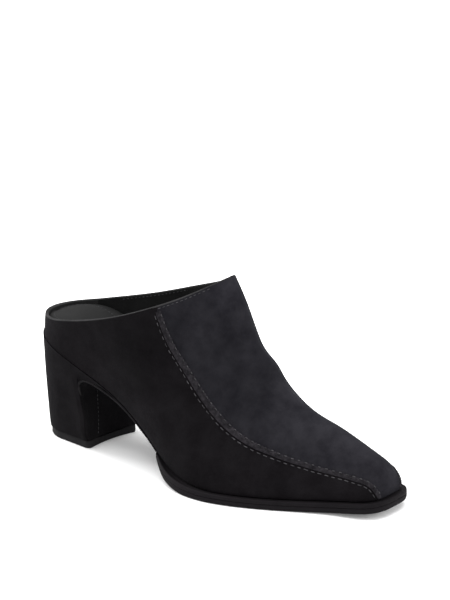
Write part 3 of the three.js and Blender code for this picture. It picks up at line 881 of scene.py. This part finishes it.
def make_heel_pad():
    """A low cushion on the sock under the heel, with a stitch row round it."""
    rings = [pad_ring(scale) for scale in (1, 0.995, 0.97, 0.93, 0.86, 0.75, 0.6, 0.42, 0.22)]
    bottom = [point - np.array([0, 0, PAD["sunk"]]) for point in rings[0]]
    pad = loops_piece("heel_pad", [bottom] + rings, [PAD_LEATHER], caps=(True, True),
                      crisp=70)
    edge = pad_ring(0.93)
    edge = np.array(edge + edge[:1])
    lengths = run_lengths(edge)
    sort = STITCHES["pad"]
    row = []
    for distance in np.arange(1, lengths[-1], sort["pitch"]):
        here, ahead = (np.array([np.interp(d, lengths, edge[:, k]) for k in range(3)])
                       for d in (distance, distance + 0.3))
        along = ahead - here
        if np.linalg.norm(along) > 1e-6:
            along /= np.linalg.norm(along)
            row.append((here, along, np.array([0, 0, 1.0]), sort["length"], sort["radius"]))
    stitches_piece("pad_stitches", row, DARK_THREAD)


# ---- Sole ----
# The sole's edge from the floor up: out is measured from its widest line and up is a share of its height.
SOLE_EDGE = table(
    "out up",
    (-2.4, 0.0), (-0.9, 0.0), (-0.5, 0.04), (-0.2, 0.13), (-0.04, 0.26), (0, 0.40), (-0.03, 0.50),
    (-0.12, 0.54), (-0.42, 0.565), (-0.42, 0.59), (-0.10, 0.615), (0, 0.66), (0, 0.78), (-0.10, 0.90),
    (-0.38, 0.98), (-0.75, 1.0), (-1.1, 0.985), (-1.5, 0.95), (-3.2, 0.94),
)


def sole_edge(side, place):
    """The edge of the sole from underneath, round the rim and in under the upper."""
    foot = outline(side * place)
    out = outward(side * place)
    ledge = ledge_at(foot[0])
    bottom = max(0.0, bottom_at(foot[0]))
    edge = []
    for row in SOLE_EDGE:
        reach = ledge + row["out"] * min(1.0, ledge / -SOLE_EDGE[0]["out"])
        aside = foot + out * reach
        edge.append(np.array([aside[0], aside[1], lerp(bottom, feather_at(foot[0]), row["up"])]))
    edge[-1][2] = min(edge[-1][2], feather_at(edge[-1][0]) - 0.05)
    return edge


def make_sole():
    first = place_of(WAIST_END + 0.5 * GAP)
    sections = []
    for place in list(np.linspace(first, 2, 110)[:-1]) + list(np.linspace(2, 3, 90)):
        outer, inner = sole_edge(-1, place), sole_edge(1, place)
        top = [lerp(outer[-1], inner[-1], share) for share in np.linspace(0, 1, 10)[1:-1]]
        under = [lerp(inner[0], outer[0], share) for share in np.linspace(0, 1, 12)[1:-1]]
        sections.append(outer + top + inner[::-1] + under)
    loops_piece("sole_rubber", sections, [SOLE_RUBBER], "outsole", caps=(True, False),
                crisp=50)


# ---- Heel ----
FLAT_ROWS = 44
ARCH_ROWS = 110
EDGE_ROW = 32  # the arch's row where the cover's turned edge starts
COVER_STEPS = 14
BREAST_SHARES = ([0.012, 0.03, 0.055, 0.09, 0.14] + list(np.linspace(0.2, 0.8, 9))
                 + [0.86, 0.91, 0.945, 0.97, 0.988])
ROUND_END = 0.5
CORNER_START = 0.85


def foot_point(side, share, inset=0.0, corner=0.0):
    """Half the way round the heel's foot: a quarter circle up to ROUND_END, a side, then the front corner."""
    half = FOOT["half"] - inset
    middle = FOOT["back"] + FOOT["half"]
    front = FOOT["front"] - inset - middle
    if share < ROUND_END:
        along, out = -half * math.cos(share * math.pi), half * math.sin(share * math.pi)
    elif share < CORNER_START or corner == 0:
        end = 1 if corner == 0 else CORNER_START
        along, out = (share - ROUND_END) / (end - ROUND_END) * (front - corner), half
    else:
        angle = (share - CORNER_START) / (1 - CORNER_START) * math.pi / 2
        along, out = front - corner * (1 - math.sin(angle)), half - corner * (1 - math.cos(angle))
    aside = side * out
    cos, sin = math.cos(FOOT["turn"]), math.sin(FOOT["turn"])
    return np.array([middle + along * cos - aside * sin, along * sin + aside * cos])


def seat_point(side, seat, place):
    aside = outline(side * place) + outward(side * place) * 0.5
    return np.array([aside[0], aside[1], feather_at(seat)])


def breast_rise(z):
    """How far up the breast that height is, as a share of the way to the arch."""
    return min(1.0, (z - BREAST[0]["z"]) / (BREAST[ARCH_FOOT]["z"] - BREAST[0]["z"]))


def swell_at(rise):
    """How far the cover's front corners stand forward at that rise."""
    return CORNER_SWELL * (4 * rise * (1 - rise)) ** 0.6 if 0 < rise < 1 else 0.0


def heel_rows():
    """Rows from the back of the heel to the end of the waist.

    Each has a lower and an upper point for both sides, the hollow between them and the depth of its corners.
    """
    rows = []
    for i in range(FLAT_ROWS + 1):
        share = i / FLAT_ROWS
        if share < ROUND_END:
            place = share * 2
        else:
            place = place_of(lerp(HEEL_ROUND, BREAST[0]["seat"], (share - ROUND_END) * 2))
        row = {}
        for side in (-1, 1):
            low = np.array([*foot_point(side, share), BREAST[0]["z"]])
            row[side] = (low, seat_point(side, outline(side * place)[0], place))
        rows.append((row, FOOT["hollow"] * (share == 1), FOOT["corner"] * (share == 1)))
    for i in range(1, ARCH_ROWS + 1):
        k = i / ARCH_ROWS * (len(BREAST) - 1)
        x, z, seat = breast_x(k), breast_z(k), breast_seat(k)
        rise = breast_rise(z) if k < ARCH_TOP else 1.0
        row = {}
        for side in (-1, 1):
            corner = foot_point(side, 1)
            wide = outline(side * place_of(max(x, HEEL_ROUND + 1)))[1] - side * 0.6
            skew = (corner[0] - FOOT["front"]) * (1 - rise)
            low = np.array([x + skew + swell_at(rise), lerp(corner[1], wide, rise ** 0.9), z])
            row[side] = (low, seat_point(side, seat, place_of(seat)))
        fade = max(0.0, 1 - k / ARCH_TOP)
        rows.append((row, FOOT["hollow"] * fade, FOOT["corner"] * math.sqrt(fade)))
    return rows


def cover_side(side, low, high, groove):
    """The cover from its foot to the upper on one side, with its swells, its fold and the waist's groove."""
    edge = [lerp(low, high, j / COVER_STEPS) for j in range(COVER_STEPS + 1)]
    edge[0] = edge[0] - np.array([0, TURN_IN * edge[0][1] / FOOT["half"], 0])
    for j in range(1, COVER_STEPS + 1):
        x, _, z = edge[j]
        drawn = groove * math.sin(math.pi * min(1.0, 0.25 + j / COVER_STEPS))
        rounded = BACK_SWELL * math.sin(math.pi * j / COVER_STEPS) * max(0.0, 1 - x / 24)
        folded = FOLD * math.exp(-((z - 13) / 6) ** 2 - ((x - rounded - 43) / 5) ** 2)
        edge[j] = edge[j] + np.array([-rounded, side * (folded - drawn), 0])
    return edge


def make_heel():
    """The covered heel block with the breast, the arch and the waist under the foot."""
    sections = []
    for row, hollow, corner in heel_rows():
        low_left, high_left = row[-1]
        low_right, high_right = row[1]
        swell = swell_at(breast_rise(low_left[2])) if 0 < hollow < FOOT["hollow"] else 0.0
        under = []
        for share in BREAST_SHARES:
            point = lerp(low_right, low_left, share)
            near = max(0.0, 1 - min(share, 1 - share) / 0.09)
            point[0] -= hollow * 4 * share * (1 - share) + corner * near ** 2 + swell * (1 - near)
            under.append(point)
        back = np.array([corner, 0, 0])
        groove = WAIST_GROOVE * smooth((low_left[0] - corner - 46) / 14)
        left = cover_side(-1, low_left - back, high_left, groove)
        right = cover_side(1, low_right - back, high_right, groove)
        top = [lerp(left[-1], right[-1], share) for share in np.linspace(0, 1, 10)[1:-1]]
        sections.append(left + top + right[::-1] + under)
    loops_piece("heel_cover", sections, [COVER], "heel", caps=(False, True), crisp=40)


def breast_point(k, y):
    """The point of the breast that far along its table's rows and that far across."""
    x, z = breast_x(k), breast_z(k)
    left, right = foot_point(-1, 1), foot_point(1, 1)
    share = (right[1] - y) / (right[1] - left[1])
    skew = (lerp(right[0], left[0], share) - FOOT["front"]) * (1 - breast_rise(z))
    return np.array([x + skew - FOOT["hollow"] * (1 - k / ARCH_TOP) * 4 * share * (1 - share), y, z])


def make_breast_seam():
    """A row of short stitches up the breast, near its outer corner."""
    sort = STITCHES["breast"]
    foot, top, end = (BREAST_SEAM[name] for name in ("foot", "top", "rows"))
    row = []
    for k in np.linspace(0.3, end, 15):
        here, ahead = (breast_point(at, lerp(foot, top, at / end)) for at in (k, k + 0.05))
        along = (ahead - here) / np.linalg.norm(ahead - here)
        out = np.array([along[2], 0, -along[0]])
        centre = here + out * 0.15
        row.append((centre, along, out / np.linalg.norm(out), sort["length"], sort["radius"]))
    stitches_piece("breast_stitches", row, DARK_THREAD)


def make_turned_edges():
    """The cover's turned edges, round the arch of the breast and along the waist on both sides."""
    rows = [row for row, _, _ in heel_rows()]
    for side, word in ((-1, "outer"), (1, "inner")):
        middle = np.array([row[side][0] for row in rows[FLAT_ROWS + EDGE_ROW:-1]])
        last = len(middle) - 1
        sections = []
        for i, point in enumerate(middle):
            ahead = middle[min(i + 1, last)] - middle[max(i - 1, 0)]
            ahead /= np.linalg.norm(ahead)
            out = np.array([0, side, 0]) - ahead * ahead[1] * side
            out /= np.linalg.norm(out)
            down = np.cross(ahead, out)
            radius = TURNED_EDGE * min(1.0, 0.35 + i / 10, 0.35 + (last - i) / 10)
            centre = point - out * 0.25 + np.array([0, 0, 0.2])
            sections.append([centre + (out * math.cos(a) + down * math.sin(a)) * radius
                             for a in np.linspace(0, 2 * math.pi, 12, endpoint=False)])
        # Their lighter colour is a painted highlight.
        loops_piece("turned_edge_" + word, sections, [COVER_EDGE_HIGHLIGHT], caps=(True, True), crisp=80)


# The top piece's edge from the floor up: how far it is set in from its widest line.
LIFT_EDGE = ((0, 0.5), (0.15, 0.2), (0.6, 0), (LIFT_HEIGHT - 0.6, 0), (LIFT_HEIGHT, 0.3))


def lift_outline(inset):
    steps = 60
    ring = [foot_point(1, 1 - i / steps, inset, FOOT["corner"]) for i in range(steps + 1)]
    ring += [foot_point(-1, i / steps, inset, FOOT["corner"]) for i in range(1, steps + 1)]
    start, end = ring[-1], ring[0]
    for i in range(1, 16):
        share = i / 16
        ring.append(lerp(start, end, share) - np.array([FOOT["hollow"] * 4 * share * (1 - share), 0]))
    return ring


def make_top_piece():
    sections = [[np.array([*p, z]) for p in lift_outline(LIFT_INSET + inset)] for z, inset in LIFT_EDGE]
    loops_piece("heel_top_piece", sections, [LIFT_RUBBER], "top_piece",
                caps=(True, True), crisp=40)


make_upper()
make_strip(-1, "outer")
make_strip(1, "inner")
make_topline_stitches()
make_sock()
make_heel_pad()
make_sole()
make_heel()
make_breast_seam()
make_turned_edges()
make_top_piece()


# ---- Floor, light and camera ----
# Azimuth, elevation and roll in degrees, distance in metres, lens and film height in millimetres.
CAMERA = {"azimuth": 38.99, "elevation": 19.76, "roll": -0.73, "distance": 2.103, "lens": 220.9, "film": 36}
CAMERA_AIM = np.array([132.0, 0.0, 105.9])  # in the tables' frame
FLOOR_SIZE = 6.0
WORLD_LIGHT = 0.95


def make_stage():
    """A pale floor that glows a little, so that the shoe's shadow on it stays soft and light."""
    material = bpy.data.materials.new("floor_white")
    material.use_nodes = True
    tune(material, Base_Color=(0.9, 0.9, 0.9, 1), Roughness=0.9, Specular_IOR_Level=0.1,
         Emission_Color=(1, 1, 1, 1), Emission_Strength=0.12)
    corners = [(x * FLOOR_SIZE, y * FLOOR_SIZE, 0) for x, y in ((-1, -1), (1, -1), (1, 1), (-1, 1))]
    mesh = bpy.data.meshes.new("floor")
    mesh.from_pydata(corners, [], [(0, 1, 2, 3)])
    mesh.materials.append(material)
    floor = bpy.data.objects.new("floor", mesh)
    bpy.context.scene.collection.objects.link(floor)


def make_light(name, place, aim, size, power):
    data = bpy.data.lights.new(name, "AREA")
    data.shape = "DISK"
    data.size = size
    data.energy = power
    light = bpy.data.objects.new(name, data)
    bpy.context.scene.collection.objects.link(light)
    light.location = place
    light.rotation_euler = (Vector(aim) - Vector(place)).to_track_quat("-Z", "Y").to_euler()


def make_world(strength):
    world = bpy.data.worlds.new("studio")
    bpy.context.scene.world = world
    world.use_nodes = True
    background = world.node_tree.nodes["Background"]
    background.inputs["Color"].default_value = (1, 1, 1, 1)
    background.inputs["Strength"].default_value = strength


def make_camera():
    azimuth, elevation, roll = (math.radians(CAMERA[name]) for name in ("azimuth", "elevation", "roll"))
    aim = Vector((CAMERA_AIM - MIDDLE) / 1000)
    level = math.cos(elevation)
    back = Vector((math.sin(azimuth) * level, -math.cos(azimuth) * level, math.sin(elevation)))
    right = Vector((math.cos(azimuth), math.sin(azimuth), 0))
    up = back.cross(right)
    turned_right = right * math.cos(roll) + up * math.sin(roll)
    turned_up = up * math.cos(roll) - right * math.sin(roll)
    data = bpy.data.cameras.new("camera")
    data.sensor_fit = "VERTICAL"
    data.sensor_height = CAMERA["film"]
    data.lens = CAMERA["lens"]
    data.clip_start = 0.05
    data.clip_end = 50
    camera = bpy.data.objects.new("camera", data)
    bpy.context.scene.collection.objects.link(camera)
    basis = Matrix((turned_right, turned_up, back)).transposed().to_4x4()
    camera.matrix_world = Matrix.Translation(aim + back * CAMERA["distance"]) @ basis
    bpy.context.scene.camera = camera


make_stage()
make_world(WORLD_LIGHT)
make_light("overhead", (0.0, 0.1, 2.0), (0, 0, 0), 2.6, 50)
make_light("left", (-1.8, 0.0, 0.8), (0, 0, 0.06), 0.9, 30)
make_light("right", (1.7, 0.3, 0.9), (0, 0, 0.04), 0.9, 13)
make_camera()
scene = bpy.context.scene
scene.view_settings.view_transform = "Standard"
scene.view_settings.look = "None"
